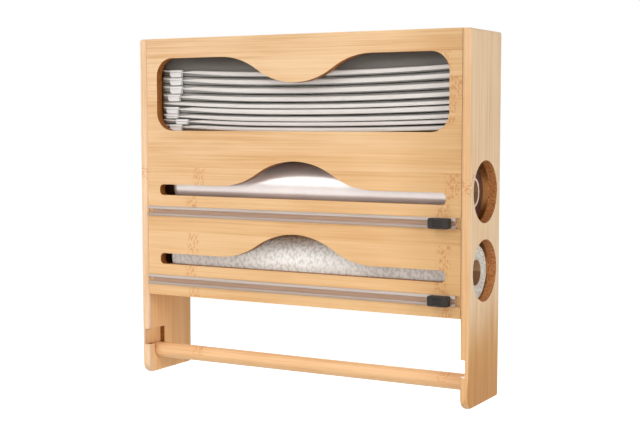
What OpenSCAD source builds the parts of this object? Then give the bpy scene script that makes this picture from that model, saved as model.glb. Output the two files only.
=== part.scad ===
// Wall-mounted kitchen dispenser of laminated bamboo: a window for zip bags, two slots for rolls of
// wrap with sliding cutters, and a rod for a roll of towels that lifts out of its seats.
// Millimetres. +X is right, +Y goes to the wall and +Z is up. The origin lies on the wall plane,
// midway between the entry holes of the two keyhole hangers.

/* [Cabinet] */
// Width over both side panels
cabinet_w = 340; // [330:1:400]
// Thickness of each side panel
side_t = 8; // [7:0.5:12]
// Thickness of the front panel
front_t = 8; // [7:0.5:12]
// Thickness of the back panel
back_t = 8; // [7:0.5:12]
// Thickness of the shelves, the bottom board and the top board
shelf_t = 8; // [7:0.5:12]
// Step from the front edges of the side panels back to the front panel
front_inset = 1; // [0.5:0.1:3]
// Radius of the lower front corner of each side panel
corner_r = 10; // [4:0.5:12]

/* [Bays] */
// Height of the open space under the front panel
towel_bay_h = 78; // [65:1:140]
// Height of the lower roll's floor above the front panel's lower edge
floor_rise = 11.2; // [10:0.1:20]
// Space above the lower roll's port
lower_head = 6; // [4:0.5:20]
// Space above the upper roll's port
upper_head = 15.3; // [14:0.1:30]
// Clear height of the bay that holds the bags
bag_bay_h = 79.5; // [78:0.5:120]
// Space round the largest roll at the front and back of its bay
bay_clear = 1; // [0.5:0.1:6]
// Space between the largest roll and the port it is loaded through
port_clear = 1.5; // [1.2:0.1:4]

/* [Bag window] */
// Width of wood beside the window
window_stile = 11.5; // [8:0.5:30]
// Height of the window's sill above the bag shelf
window_sill = 0.8; // [0.4:0.1:3]
// Height of the window at its ends
window_h = 68.2; // [60:0.1:70]
// Radius of the window's corners
window_r = 17; // [8:0.5:20]
// Depth of the wave that dips into the window
dip_h = 24.5; // [10:0.5:30]
// Half width of that wave
dip_half_w = 78; // [50:1:100]

/* [Wrap slots] */
// Width of wood beside each slot
slot_stile = 14; // [10:0.5:40]
// Height of each slot at its ends
slot_h = 10.3; // [7:0.1:12]
// Radius of a slot's corners, as a share of its height
slot_round = 0.39; // [0.2:0.01:0.48]
// Height of the upper slot's lower edge above its floor
upper_slot_rise = 16.8; // [16:0.1:20]
// Height of the lower slot's lower edge above its floor
lower_slot_rise = 18.8; // [16:0.1:20]
// Height of the wave above each slot
hump_h = 24; // [10:0.5:26]
// Half width of that wave
hump_half_w = 79; // [50:1:100]

/* [Cutter tracks] */
// Height of each track
track_h = 9.5; // [9:0.1:11]
// Depth of each track from front to back
track_d = 3.4; // [3.2:0.1:5]
// Thickness of a track's web and of its two flanges
track_wall = 0.8; // [0.6:0.1:1]
// Thickness of a track's front lips
lip_t = 1; // [0.8:0.1:1.2]
// Height of the opening between the lips
lip_gap = 4.1; // [3.8:0.1:5]
// Depth of the groove in the front panel that holds a track
groove_d = 2; // [1.5:0.1:2.5]
// Distance from a slot's lower edge down to the middle of its track
track_drop = 15.3; // [12:0.1:18]
// Groove left empty at the right end of each track
track_right_gap = 4.5; // [2:0.5:10]
// Length of the cutter's entry notch at the left end of each track
track_notch = 4; // [2:0.5:8]

/* [Cutters] */
// Width of a cutter's cap
cap_w = 18.7; // [17:0.1:24]
// Height of a cutter's cap
cap_h = 9; // [8:0.1:12]
// Distance that a cap stands in front of its track
cap_d = 7.6; // [6:0.1:10]
// Radius of a cap's corners
cap_r = 1.5; // [0.5:0.1:3]
// Distance from a parked cap to the right side panel
park_gap = 8.4; // [6:0.1:20]
// Length of the shoe inside the track
shoe_w = 16; // [12:0.5:18]
// Length of the neck that joins shoe and cap
neck_w = 9; // [6:0.5:10]
// Length of the neck inside the cap
neck_grip = 3; // [2:0.5:4]
// Thickness of the blade
blade_t = 0.4; // [0.3:0.1:0.6]
// Length of the blade from point to point
blade_w = 15; // [12:0.5:17]
// Running clearance between a cutter and its track
cutter_clear = 0.2; // [0.1:0.05:0.3]
// Depth of the grip grooves in a cap
grip_d = 0.7; // [0.4:0.1:1.2]
// Height of each grip groove
grip_h = 0.9; // [0.5:0.1:1.2]
// Distance from one grip groove to the next
grip_step = 2.2; // [1.8:0.1:2.5]
// Length of each grip groove
grip_w = 8.5; // [5:0.5:12]

/* [Towel rod] */
// Radius of the rod
rod_r = 7.25; // [6:0.25:8]
// Depth of the blind seats in the side panels
seat_d = 5; // [4.5:0.5:6]
// Gap between the rod's ends and the bottoms of their seats
rod_end_gap = 0.75; // [0.3:0.05:1.5]
// Rounding of the rod's ends
rod_end_r = 1.5; // [0.5:0.1:3]
// Height of the seats' lowest point above the panels' lower ends
seat_z = 13.7; // [10:0.1:20]
// Distance from the front edge to the middle of the seats
seat_y = 17; // [14:0.5:24]
// Spare width of the upright part of a seat, on each side of the rod
seat_clear = 0.75; // [0.5:0.05:1.5]
// Spare height of the entry, above and below the rod
entry_clear = 0.3; // [0.2:0.05:1]
// Distance that the rod lifts from its seat to its entry
rod_lift = 14.4; // [10:0.1:20]

/* [Rolls of wrap] */
// Radius of the upper roll, the largest one
film_r = 25.5; // [24:0.25:28]
// Gap from the upper roll's core to the right side panel
film_end_gap = 3; // [2:0.5:6]
// Gap from the upper roll's core to the left side panel
film_far_gap = 22.3; // [2:0.1:30]
// Length of core that shows past each end of the upper roll
core_proud = 1.4; // [0.5:0.1:16]
// Radius of the lower roll
paper_r = 24.4; // [20:0.1:25.5]
// Gap from the lower roll to the right side panel
paper_end_gap = 0.2; // [0.2:0.1:4]
// Gap from the lower roll to the left side panel
paper_far_gap = 19.7; // [2:0.1:30]
// Outer radius of both cores
core_r = 13.5; // [12:0.25:15]
// Wall of both cores
core_wall = 2.3; // [1.5:0.1:3]
// Gap under a roll that lies on its floor
rest_gap = 0.3; // [0.2:0.05:0.4]

/* [Bags] */
// Gap from the bags to each side panel
bag_side_gap = 12; // [10:0.5:30]
// Space between the front panel and the bags' zip strips
strip_setback = 2; // [1.8:0.1:4]
// Thickness of a zip strip from front to back
strip_d = 2.5; // [2:0.1:4]
// Height of a zip strip
strip_h = 3.6; // [3:0.1:4.1]
// Space behind the folded bags
bag_back_gap = 2; // [1:0.5:10]
// Sag of the lowest bag, from its ends to its middle
floor_sag = 3; // [0:0.1:4]
// Sag of the top bag, from its ends to its middle
bag_sag = 4; // [0:0.5:6]
// Air between neighbouring bags
bag_gap = 0.2; // [0.1:0.05:0.3]
// Space above the loose film of the top bag
crest_clear = 3.6; // [2:0.1:14]
// Width of a slider on a zip strip
slider_w = 14; // [10:0.5:18]
// Height of a slider
slider_h = 6.8; // [5:0.1:8]
// Distance that a slider stands in front of its strip
slider_proud = 1.3; // [0.8:0.1:1.5]

/* [Fixings] */
// Distance between the two keyhole hangers
hanger_span = 220; // [160:1:260]
// Distance from the cabinet's top down to the hangers' entry holes
hanger_drop = 32; // [28:1:60]
// Width of a hanger plate
hanger_w = 24; // [20:0.5:32]
// Height of a hanger plate
hanger_h = 44; // [42:0.5:50]
// Thickness of a hanger plate
hanger_t = 1.5; // [1:0.1:2]
// Radius of the keyhole's entry hole
key_r = 4.5; // [4.2:0.1:5]
// Half width of the keyhole's slot
key_slot_r = 2.2; // [2:0.1:2.5]
// Rise from the entry hole to the end of the slot
key_rise = 9; // [8:0.5:10]
// Depth of the pocket for the head of the wall's screw
head_pocket_d = 3.5; // [3:0.1:4.5]
// Distance from a plate's middle to its screws
hanger_screw_rise = 17; // [16:0.5:18]
// Spare width of the screw head's pocket on each side of the entry hole
pocket_spare = 2.5; // [1:0.1:3]
// Radius of the dowels
dowel_r = 2; // [1.5:0.1:2.5]
// Distance of a board's dowels from its middle
dowel_spread = 14; // [10:0.5:18]
// Length of a dowel inside a side panel
dowel_in_side = 6; // [4:0.5:6]
// Length of a dowel inside a shelf
dowel_in_shelf = 14; // [10:0.5:20]
// Length of a dowel inside the front panel
dowel_in_front = 9; // [6:0.5:9.5]
// Height of the front panel's lowest dowels above its lower edge
front_dowel_low = 5; // [4:0.5:6]
// Height of its second dowels above the ends of the lower slot
front_dowel_second = 20; // [10:0.5:24]
// Height of its third dowels above the ends of the upper slot
front_dowel_third = 38; // [10:0.5:60]
// Distance of its highest dowels below the top board
front_dowel_top = 2; // [0:0.5:10]
// Distance of the outer screws of the back panel from the side panels
screw_inset = 22; // [17:0.5:40]
// Radius of the back panel's screws
screw_r = 1.5; // [1.25:0.05:2]
// Radius of their heads
screw_head_r = 3; // [2.5:0.1:3.5]
// Length of the back panel's screws
screw_len = 24; // [20:1:30]
// Length of the hanger plates' screws
hanger_screw_len = 6; // [5:0.5:7]
// Clearance round a dowel or screw in its hole
fit_gap = 0.05; // [0.02:0.01:0.1]

/* [Hidden] */

$fn = 64;
// Overshoot of a cutting solid past the face that it opens
over = 1;
// Steps along half a wave, along a rounded corner and along half a bag
wave_n = 16;
corner_n = 8;
sag_n = 8;

// Height of the middle of each zip strip above the bag shelf, from the lowest up
strip_rise = [2.3, 7.5, 11.9, 18.6, 23.5, 30.2, 37.9, 45.6, 53];
// Distance of each slider from its strip's left end, where 0 means that the slider is out of sight
slider_inset = [14.4, 21.5, 10, 10.5, 0, 12.5, 15, 15, 15];
bag_count = len(strip_rise);

inner_w = cabinet_w - 2 * side_t;
inner_x = inner_w / 2;
port_r = film_r + port_clear;
bay_d = 2 * (film_r + bay_clear);
depth = front_inset + front_t + bay_d + back_t;

// Levels, measured up from the lower ends of the side panels
front_z = towel_bay_h;
lower_floor_z = front_z + floor_rise;
upper_floor_z = lower_floor_z + 2 * port_r + lower_head + shelf_t;
bag_floor_z = upper_floor_z + 2 * port_r + upper_head + shelf_t;
top_board_z = bag_floor_z + bag_bay_h;
side_h = top_board_z + shelf_t;
hanger_z = side_h - hanger_drop;
upper_slot_z = upper_floor_z + upper_slot_rise;
lower_slot_z = lower_floor_z + lower_slot_rise;
upper_track_z = upper_slot_z - track_drop;
lower_track_z = lower_slot_z - track_drop;
board_tops = [lower_floor_z, upper_floor_z, bag_floor_z, side_h];

// Depths, measured from the wall plane towards the front
front_y = -depth;
panel_y = front_y + front_inset;
bay_front_y = panel_y + front_t;
bay_back_y = -back_t;
bay_mid_y = (bay_front_y + bay_back_y) / 2;

// Track and cutter, from the back of the groove to the front of the cap
track_back_y = panel_y + groove_d;
track_front_y = track_back_y - track_d;
cavity_back_y = track_back_y - track_wall;
cavity_front_y = track_front_y + lip_t;
cap_back_y = track_front_y - cutter_clear;
cap_front_y = track_front_y - cap_d;
cap_x = inner_x - park_gap - cap_w / 2;
neck_h = lip_gap - 2 * cutter_clear;
shoe_h = track_h - 2 * track_wall - 2 * cutter_clear;

// Rod and seats
rod_y = front_y + seat_y;
rod_z = seat_z + rest_gap + rod_r;
seat_r = rod_r + seat_clear;
entry_low_z = rod_z + rod_lift - rod_r - entry_clear;
entry_high_z = rod_z + rod_lift + rod_r + entry_clear;
rod_w = inner_w + 2 * (seat_d - rod_end_gap);

// Fixings
dowel_y = [bay_mid_y - dowel_spread, bay_mid_y + dowel_spread];
front_dowel_y = panel_y + front_t / 2 + groove_d / 4;
front_dowel_z = [
    front_z + front_dowel_low,
    lower_slot_z + slot_h + front_dowel_second,
    upper_slot_z + slot_h + front_dowel_third,
    top_board_z - front_dowel_top
];
end_gap = 0.3;
screw_x = [screw_inset - inner_x, 0, inner_x - screw_inset];
screw_head_h = screw_head_r - screw_r;
plate_mid_rise = key_rise / 2;
pocket_w = 2 * (key_r + pocket_spare);

// Places a module drawn from the panels' lower ends in the frame of the hangers
module place() {
    translate([0, 0, -hanger_z]) children();
}

// Extrudes an outline of x and z from y0 to y1
module along_y(points, y0, y1) {
    translate([0, y1, 0]) rotate([90, 0, 0]) linear_extrude(y1 - y0) polygon(points);
}

// Extrudes an outline of y and z from x0 to x1
module along_x(points, x0, x1) {
    translate([x0, 0, 0]) rotate([90, 0, 90]) linear_extrude(x1 - x0) polygon(points);
}

// A box between two corners
module box(low, high) {
    translate(low) cube(high - low);
}

// A cylinder along +X from x0 to x1
module bar_x(r, x0, x1, y, z) {
    translate([x0, y, z]) rotate([0, 90, 0]) cylinder(r = r, h = x1 - x0);
}

// A cylinder along -Y from y1 to y0
module bar_y(r, x, y0, y1, z) {
    translate([x, y1, z]) rotate([90, 0, 0]) cylinder(r = r, h = y1 - y0);
}

// Points of an arc about c from angle a0 to a1
function arc(c, r, a0, a1) = [
    for (i = [0:corner_n])
        let (a = a0 + (a1 - a0) * i / corner_n) c + r * [cos(a), sin(a)]
];

// Height at x of a wave of two equal tangent arcs on each side of its crest
function wave(x, half, h) =
    let (r = (half * half + h * h) / (4 * h), a = abs(x))
    a < half / 2 ? h - r + sqrt(r * r - a * a) : r - sqrt(r * r - (half - a) * (half - a));

// Points of a wave from right to left, upwards for a positive h and downwards for a negative one
function wave_points(z, half, h) = [
    for (i = [-wave_n:wave_n])
        let (x = -half * i / wave_n) [x, z + sign(h) * wave(x, half, abs(h))]
];

// Outline of the bag window
function window_outline() =
    let (x = inner_x - window_stile - window_r,
         low = bag_floor_z + window_sill + window_r,
         high = bag_floor_z + window_sill + window_h - window_r)
    concat(arc([-x, low], window_r, 180, 270), arc([x, low], window_r, 270, 360),
           arc([x, high], window_r, 0, 90), wave_points(high + window_r, dip_half_w, -dip_h),
           arc([-x, high], window_r, 90, 180));

// Outline of a wrap slot whose lower edge is at z
function slot_outline(z) =
    let (r = slot_round * slot_h, x = inner_x - slot_stile - r, low = z + r, high = z + slot_h - r)
    concat(arc([x, low], r, -90, 0), arc([x, high], r, 0, 90), wave_points(z + slot_h, hump_half_w, hump_h),
           arc([-x, high], r, 90, 180), arc([-x, low], r, 180, 270));

// Outline of a side panel with its rounded lower front corner
function side_outline() = concat(
    [[0, 0], [0, side_h], [front_y, side_h]],
    arc([front_y + corner_r, corner_r], corner_r, 180, 270));

// Outline of a rod seat: an upright channel with a round foot, entered from the front edge
function seat_outline() = concat(
    arc([rod_y, seat_z + seat_r], seat_r, 180, 360),
    [[rod_y + seat_r, entry_high_z], [front_y - over, entry_high_z],
     [front_y - over, entry_low_z], [rod_y - seat_r, entry_low_z]]);

// Holes for the shelf dowels in the side panel on one side, -1 for left and 1 for right
module shelf_dowel_holes(side, grow) {
    x = side * inner_x;
    near = dowel_in_shelf + (grow > 0 ? end_gap : 0);
    far = dowel_in_side + (grow > 0 ? end_gap : 0);
    for (top = board_tops, y = dowel_y)
        bar_x(dowel_r + grow, side > 0 ? x - near : x - far, side > 0 ? x + far : x + near,
              y, top - shelf_t / 2);
}

// Dowels between the front panel and one side panel, or their holes where grow is set
module front_dowel_row(side, grow) {
    x = side * inner_x;
    near = dowel_in_front + (grow > 0 ? end_gap : 0);
    far = dowel_in_side + (grow > 0 ? end_gap : 0);
    for (z = front_dowel_z)
        bar_x(dowel_r + grow, side > 0 ? x - near : x - far, side > 0 ? x + far : x + near,
              front_dowel_y, z);
}

// A countersunk screw that enters at y1 and points to the front, or its hole where grow is set
module screw(x, z, y1, length, grow) {
    tip = grow > 0 ? end_gap : 0;
    bar_y(screw_r + grow, x, y1 - length - tip, y1, z);
    translate([x, y1, z]) rotate([90, 0, 0])
        cylinder(r1 = screw_head_r + grow, r2 = screw_r + grow, h = screw_head_h);
}

// All screws that hold the back panel to the boards, or their holes
module back_screws(grow) {
    for (x = screw_x, top = board_tops) screw(x, top - shelf_t / 2, 0, screw_len, grow);
}

// The two screws of each hanger plate, or their holes
module plate_screws(grow) {
    for (side = [-1, 1], up = [-1, 1])
        screw(side * hanger_span / 2, hanger_z + plate_mid_rise + up * hanger_screw_rise,
              0, hanger_screw_len, grow);
}

// A side panel without its ports, for side -1 or 1
module side_panel(side) {
    x = side * inner_x;
    difference() {
        along_x(side_outline(), min(x, x + side * side_t), max(x, x + side * side_t));
        along_x(seat_outline(), side > 0 ? x - over : x - seat_d, side > 0 ? x + seat_d : x + over);
        shelf_dowel_holes(side, fit_gap);
        front_dowel_row(side, fit_gap);
    }
}

module left_side_panel() {
    color([0.91, 0.76, 0.58]) side_panel(-1);
}

// The right panel has the two ports that the rolls are loaded through
module right_side_panel() {
    color([0.85, 0.70, 0.53]) difference() {
        side_panel(1);
        for (z = [lower_floor_z, upper_floor_z])
            bar_x(port_r, inner_x - over, inner_x + side_t + over, bay_mid_y, z + port_r);
    }
}

// The groove across the front panel that a track sits in
module track_groove(z) {
    box([-inner_x - over, panel_y - over, z - track_h / 2],
        [inner_x + over, track_back_y, z + track_h / 2]);
}

module front_panel() {
    color([0.93, 0.76, 0.57]) difference() {
        box([-inner_x, panel_y, front_z], [inner_x, bay_front_y, side_h]);
        along_y(window_outline(), panel_y - over, bay_front_y + over);
        along_y(slot_outline(upper_slot_z), panel_y - over, bay_front_y + over);
        along_y(slot_outline(lower_slot_z), panel_y - over, bay_front_y + over);
        track_groove(upper_track_z);
        track_groove(lower_track_z);
        front_dowel_row(-1, fit_gap);
        front_dowel_row(1, fit_gap);
    }
}

// Space let into the back panel for a hanger plate, with the deeper pocket for the head of the wall's screw
module hanger_recess(side) {
    x = side * hanger_span / 2;
    z = hanger_z + plate_mid_rise;
    box([x - hanger_w / 2, -hanger_t, z - hanger_h / 2], [x + hanger_w / 2, over, z + hanger_h / 2]);
    box([x - pocket_w / 2, -hanger_t - head_pocket_d, hanger_z - key_r - end_gap],
        [x + pocket_w / 2, over, hanger_z + key_rise + key_r + end_gap]);
}

module back_panel() {
    color([0.88, 0.72, 0.53]) difference() {
        box([-inner_x, -back_t, front_z], [inner_x, 0, side_h]);
        hanger_recess(-1);
        hanger_recess(1);
        back_screws(fit_gap);
        plate_screws(fit_gap);
    }
}

// A board between the side panels whose upper face is at z
module board(z) {
    difference() {
        box([-inner_x, bay_front_y, z - shelf_t], [inner_x, bay_back_y, z]);
        shelf_dowel_holes(-1, fit_gap);
        shelf_dowel_holes(1, fit_gap);
        back_screws(fit_gap);
    }
}

module top_board() {
    color([0.94, 0.79, 0.63]) board(side_h);
}

module bag_shelf() {
    color([0.88, 0.72, 0.53]) board(bag_floor_z);
}

module roll_shelf() {
    color([0.88, 0.72, 0.53]) board(upper_floor_z);
}

module bottom_board() {
    color([0.88, 0.72, 0.53]) board(lower_floor_z);
}

module shelf_dowels() {
    color([0.82, 0.66, 0.47]) {
        shelf_dowel_holes(-1, 0);
        shelf_dowel_holes(1, 0);
    }
}

module front_panel_dowels() {
    color([0.82, 0.66, 0.47]) {
        front_dowel_row(-1, 0);
        front_dowel_row(1, 0);
    }
}

module back_panel_screws() {
    color([0.62, 0.62, 0.64]) back_screws(0);
}

// A steel plate let into the back panel, with a keyhole for the head of a wall screw
module hanger_plate(side) {
    x = side * hanger_span / 2;
    z = hanger_z + plate_mid_rise;
    color([0.70, 0.70, 0.72]) difference() {
        box([x - hanger_w / 2, -hanger_t, z - hanger_h / 2], [x + hanger_w / 2, 0, z + hanger_h / 2]);
        bar_y(key_r, x, -hanger_t - over, over, hanger_z);
        bar_y(key_slot_r, x, -hanger_t - over, over, hanger_z + key_rise);
        box([x - key_slot_r, -hanger_t - over, hanger_z], [x + key_slot_r, over, hanger_z + key_rise]);
        plate_screws(fit_gap);
    }
}

module hanger_plate_left() {
    hanger_plate(-1);
}

module hanger_plate_right() {
    hanger_plate(1);
}

module hanger_screws() {
    color([0.62, 0.62, 0.64]) plate_screws(0);
}

// A clear channel with two front lips, open to the front along its middle
module track(z) {
    left = -inner_x;
    right = inner_x - track_right_gap;
    cavity_h = track_h - 2 * track_wall;
    color([0.80, 0.74, 0.70]) difference() {
        box([left, track_front_y, z - track_h / 2], [right, track_back_y, z + track_h / 2]);
        box([left - over, cavity_front_y, z - cavity_h / 2], [right + over, cavity_back_y, z + cavity_h / 2]);
        box([left - over, track_front_y - over, z - lip_gap / 2],
            [right + over, cavity_back_y, z + lip_gap / 2]);
        box([left - over, track_front_y - over, z - lip_gap / 2],
            [left + track_notch, track_back_y + over, z + lip_gap / 2]);
    }
}

module upper_track() {
    track(upper_track_z);
}

module lower_track() {
    track(lower_track_z);
}

// The neck of a cutter, or its socket in the cap where grow is set
module cutter_neck(z, grow) {
    box([cap_x - neck_w / 2 - grow, cap_back_y - neck_grip - grow, z - neck_h / 2 - grow],
        [cap_x + neck_w / 2 + grow, cavity_front_y + cutter_clear, z + neck_h / 2 + grow]);
}

// Outline of a cap with rounded corners, centred at height z
function cap_outline(z) =
    let (x0 = cap_x - cap_w / 2 + cap_r, x1 = cap_x + cap_w / 2 - cap_r,
         low = z - cap_h / 2 + cap_r, high = z + cap_h / 2 - cap_r)
    concat(arc([x1, low], cap_r, -90, 0), arc([x1, high], cap_r, 0, 90),
           arc([x0, high], cap_r, 90, 180), arc([x0, low], cap_r, 180, 270));

// A black finger grip with level grooves in the middle of its front
module cutter_cap(z) {
    color([0.17, 0.16, 0.15]) difference() {
        along_y(cap_outline(z), cap_front_y, cap_back_y);
        cutter_neck(z, fit_gap);
        for (i = [-1:1])
            box([cap_x - grip_w / 2, cap_front_y - over, z + i * grip_step - grip_h / 2],
                [cap_x + grip_w / 2, cap_front_y + grip_d, z + i * grip_step + grip_h / 2]);
    }
}

// Outline in x and y of a blade, pointed at both ends
function blade_outline() =
    let (back = cavity_front_y + cutter_clear, front = cap_back_y + cutter_clear / 2,
         mid = (back + front) / 2)
    [[cap_x - blade_w / 2, mid], [cap_x - neck_w / 2, front], [cap_x + neck_w / 2, front],
     [cap_x + blade_w / 2, mid], [cap_x + neck_w / 2, back], [cap_x - neck_w / 2, back]];

// A plate that runs inside the track, with the neck that carries the cap and a slit for the blade
module cutter_shoe(z) {
    slit = blade_t + 2 * fit_gap;
    color([0.20, 0.19, 0.18]) difference() {
        union() {
            box([cap_x - shoe_w / 2, cavity_front_y + cutter_clear, z - shoe_h / 2],
                [cap_x + shoe_w / 2, cavity_back_y - cutter_clear, z + shoe_h / 2]);
            cutter_neck(z, 0);
        }
        box([cap_x - neck_w / 2 - over, cap_back_y, z - slit / 2],
            [cap_x + neck_w / 2 + over, cavity_front_y + cutter_clear, z + slit / 2]);
    }
}

// A thin blade that points along the track both ways
module cutter_blade(z) {
    color([0.75, 0.76, 0.78]) translate([0, 0, z - blade_t / 2])
        linear_extrude(blade_t) polygon(blade_outline());
}

module upper_cutter_cap() {
    cutter_cap(upper_track_z);
}

module upper_cutter_shoe() {
    cutter_shoe(upper_track_z);
}

module upper_cutter_blade() {
    cutter_blade(upper_track_z);
}

module lower_cutter_cap() {
    cutter_cap(lower_track_z);
}

module lower_cutter_shoe() {
    cutter_shoe(lower_track_z);
}

module lower_cutter_blade() {
    cutter_blade(lower_track_z);
}

// Outline in radius and length of half the rod, with a rounded end
function rod_outline() = concat(
    [[0, 0], [rod_r, 0]],
    arc([rod_r - rod_end_r, rod_w / 2 - rod_end_r], rod_end_r, 0, 90),
    [[0, rod_w / 2]]);

module towel_rod() {
    color([0.95, 0.78, 0.62]) translate([0, rod_y, rod_z])
        for (turn = [90, -90]) rotate([0, turn, 0]) rotate_extrude() polygon(rod_outline());
}

// A tube along X that ends at x1
module tube_x(r_out, r_in, length, x1, z) {
    difference() {
        bar_x(r_out, x1 - length, x1, bay_mid_y, z);
        bar_x(r_in, x1 - length - over, x1 + over, bay_mid_y, z);
    }
}

film_z = upper_floor_z + rest_gap + film_r;
paper_z = lower_floor_z + rest_gap + paper_r;
film_core_x1 = inner_x - film_end_gap;
film_core_w = inner_w - film_end_gap - film_far_gap;
film_x1 = film_core_x1 - core_proud;
film_w = film_core_w - 2 * core_proud;
paper_x1 = inner_x - paper_end_gap;
paper_w = inner_w - paper_end_gap - paper_far_gap;

module film_core() {
    color([0.85, 0.76, 0.66]) tube_x(core_r, core_r - core_wall, film_core_w, film_core_x1, film_z);
}

module film_roll() {
    color([0.96, 0.95, 0.94]) tube_x(film_r, core_r + fit_gap, film_w, film_x1, film_z);
}

module paper_core() {
    color([0.72, 0.62, 0.50]) tube_x(core_r, core_r - core_wall, paper_w, paper_x1, paper_z);
}

module paper_roll() {
    color([0.90, 0.87, 0.83]) tube_x(paper_r, core_r + fit_gap, paper_w, paper_x1, paper_z);
}

// Height at x of a sagging level whose middle lies the given height above the bag shelf
function sagging(rise, x) =
    let (share = rise / strip_rise[bag_count - 1], u = 2 * x / bag_w)
    bag_floor_z + rise + (floor_sag + (bag_sag - floor_sag) * share) * u * u;

// Height above the shelf, at the middle, of the level between bags k - 1 and k, which are counted from 0
function bag_rise(k) =
    k == 0 ? 1.5 * strip_rise[0] - 0.5 * strip_rise[1]
    : k == bag_count ? 1.5 * strip_rise[k - 1] - 0.5 * strip_rise[k - 2]
    : (strip_rise[k - 1] + strip_rise[k]) / 2;

// Height at x of the surface under bag k; the lowest bag lies flat where it meets the shelf
function bag_level(k, x) = max(bag_floor_z, sagging(bag_rise(k), x));

// Middle height of strip k at x
function strip_level(k, x) = sagging(strip_rise[k], x);

// Outline of a band across the bags between two heights, each a function of x
function band(low, high) = concat(
    [for (i = [-sag_n:sag_n]) let (x = i / sag_n * bag_w / 2) [x, low(x)]],
    [for (i = [-sag_n:sag_n]) let (x = -i / sag_n * bag_w / 2) [x, high(x)]]);

bag_w = inner_w - 2 * bag_side_gap;
strip_y = bay_front_y + strip_setback;
bag_y = strip_y + strip_d;
bag_back_y = bay_back_y - bag_back_gap;
crest_h = top_board_z - crest_clear - bag_level(bag_count, bag_w / 2);

// Height at x of the underside of bag k, which leaves a little air above the bag below
function bag_under(k, x) = bag_level(k, x) + (k > 0 ? bag_gap : 0);

// A folded bag that lies on the one below it
module bag(k) {
    outline = band(function (x) bag_under(k, x), function (x) bag_level(k + 1, x));
    color([0.60, 0.58, 0.55]) along_y(outline, bag_y, bag_back_y);
}

// The top bag, whose loose film stands up behind its strip
module top_bag(k) {
    crest = band(function (x) bag_under(k, x), function (x) bag_level(k + 1, x) + crest_h);
    color([0.60, 0.58, 0.55]) union() {
        bag(k);
        along_y(crest, bay_mid_y, bag_back_y);
    }
}

module bag_1() { bag(0); }
module bag_2() { bag(1); }
module bag_3() { bag(2); }
module bag_4() { bag(3); }
module bag_5() { bag(4); }
module bag_6() { bag(5); }
module bag_7() { bag(6); }
module bag_8() { bag(7); }
module bag_9() { top_bag(8); }

// Zip strip of bag k, or the space it needs inside its slider where grow is set
module zip_strip(k, grow) {
    half = strip_h / 2 + grow;
    outline = band(function (x) strip_level(k, x) - half, function (x) strip_level(k, x) + half);
    along_y(outline, strip_y - grow, bag_y);
}

module bag_zip_strips() {
    color([0.93, 0.92, 0.91]) for (k = [0:bag_count - 1]) zip_strip(k, 0);
}

// A clip that rides on strip k and hangs below it
module slider(k) {
    x = -bag_w / 2 + slider_inset[k];
    top = strip_level(k, x) + strip_h / 2;
    below = k > 0 ? strip_level(k - 1, x) + strip_h / 2 : bag_floor_z;
    low = max(top - slider_h, below + 2 * bag_gap);
    difference() {
        box([x - slider_w / 2, strip_y - slider_proud, low], [x + slider_w / 2, bag_y - bag_gap, top]);
        zip_strip(k, fit_gap);
    }
}

module bag_sliders() {
    color([0.95, 0.94, 0.93]) for (k = [0:bag_count - 1]) if (slider_inset[k] > 0) slider(k);
}

place() left_side_panel();
place() right_side_panel();
place() front_panel();
place() back_panel();
place() top_board();
place() bag_shelf();
place() roll_shelf();
place() bottom_board();
place() shelf_dowels();
place() front_panel_dowels();
place() back_panel_screws();
place() hanger_plate_left();
place() hanger_plate_right();
place() hanger_screws();
place() upper_track();
place() lower_track();
place() upper_cutter_cap();
place() upper_cutter_shoe();
place() upper_cutter_blade();
place() lower_cutter_cap();
place() lower_cutter_shoe();
place() lower_cutter_blade();
place() towel_rod();
place() film_core();
place() film_roll();
place() paper_core();
place() paper_roll();
place() bag_1();
place() bag_2();
place() bag_3();
place() bag_4();
place() bag_5();
place() bag_6();
place() bag_7();
place() bag_8();
place() bag_9();
place() bag_zip_strips();
place() bag_sliders();
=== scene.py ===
"""Looks of a wall-mounted wrap dispenser: bamboo cabinet, two rolls of wrap, zip bags and slide cutters."""
import math
import random

import bpy
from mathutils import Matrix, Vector


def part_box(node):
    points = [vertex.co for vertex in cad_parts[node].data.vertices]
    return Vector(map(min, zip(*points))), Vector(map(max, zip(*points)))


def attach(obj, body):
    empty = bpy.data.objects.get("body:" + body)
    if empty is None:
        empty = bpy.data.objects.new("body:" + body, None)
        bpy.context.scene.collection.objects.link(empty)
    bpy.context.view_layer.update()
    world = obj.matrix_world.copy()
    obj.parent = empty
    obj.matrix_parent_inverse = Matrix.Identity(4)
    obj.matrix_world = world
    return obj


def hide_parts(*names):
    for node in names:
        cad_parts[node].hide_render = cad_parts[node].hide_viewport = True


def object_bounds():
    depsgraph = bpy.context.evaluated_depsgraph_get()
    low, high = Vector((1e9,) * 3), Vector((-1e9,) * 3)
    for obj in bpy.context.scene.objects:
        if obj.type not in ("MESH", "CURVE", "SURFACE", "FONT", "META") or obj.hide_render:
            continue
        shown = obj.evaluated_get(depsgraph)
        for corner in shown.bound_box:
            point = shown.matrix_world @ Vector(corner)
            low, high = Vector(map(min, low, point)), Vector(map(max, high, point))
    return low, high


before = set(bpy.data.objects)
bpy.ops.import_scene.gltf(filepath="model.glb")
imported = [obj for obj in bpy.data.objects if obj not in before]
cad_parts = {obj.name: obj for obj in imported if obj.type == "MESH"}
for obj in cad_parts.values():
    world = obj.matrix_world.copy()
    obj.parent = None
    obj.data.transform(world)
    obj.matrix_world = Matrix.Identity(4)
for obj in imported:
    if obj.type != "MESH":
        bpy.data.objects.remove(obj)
cad_low, cad_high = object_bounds()

MM = 0.001
SEED = 7
PLAIN = (1.0, 1.0, 1.0, 1.0)

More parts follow.
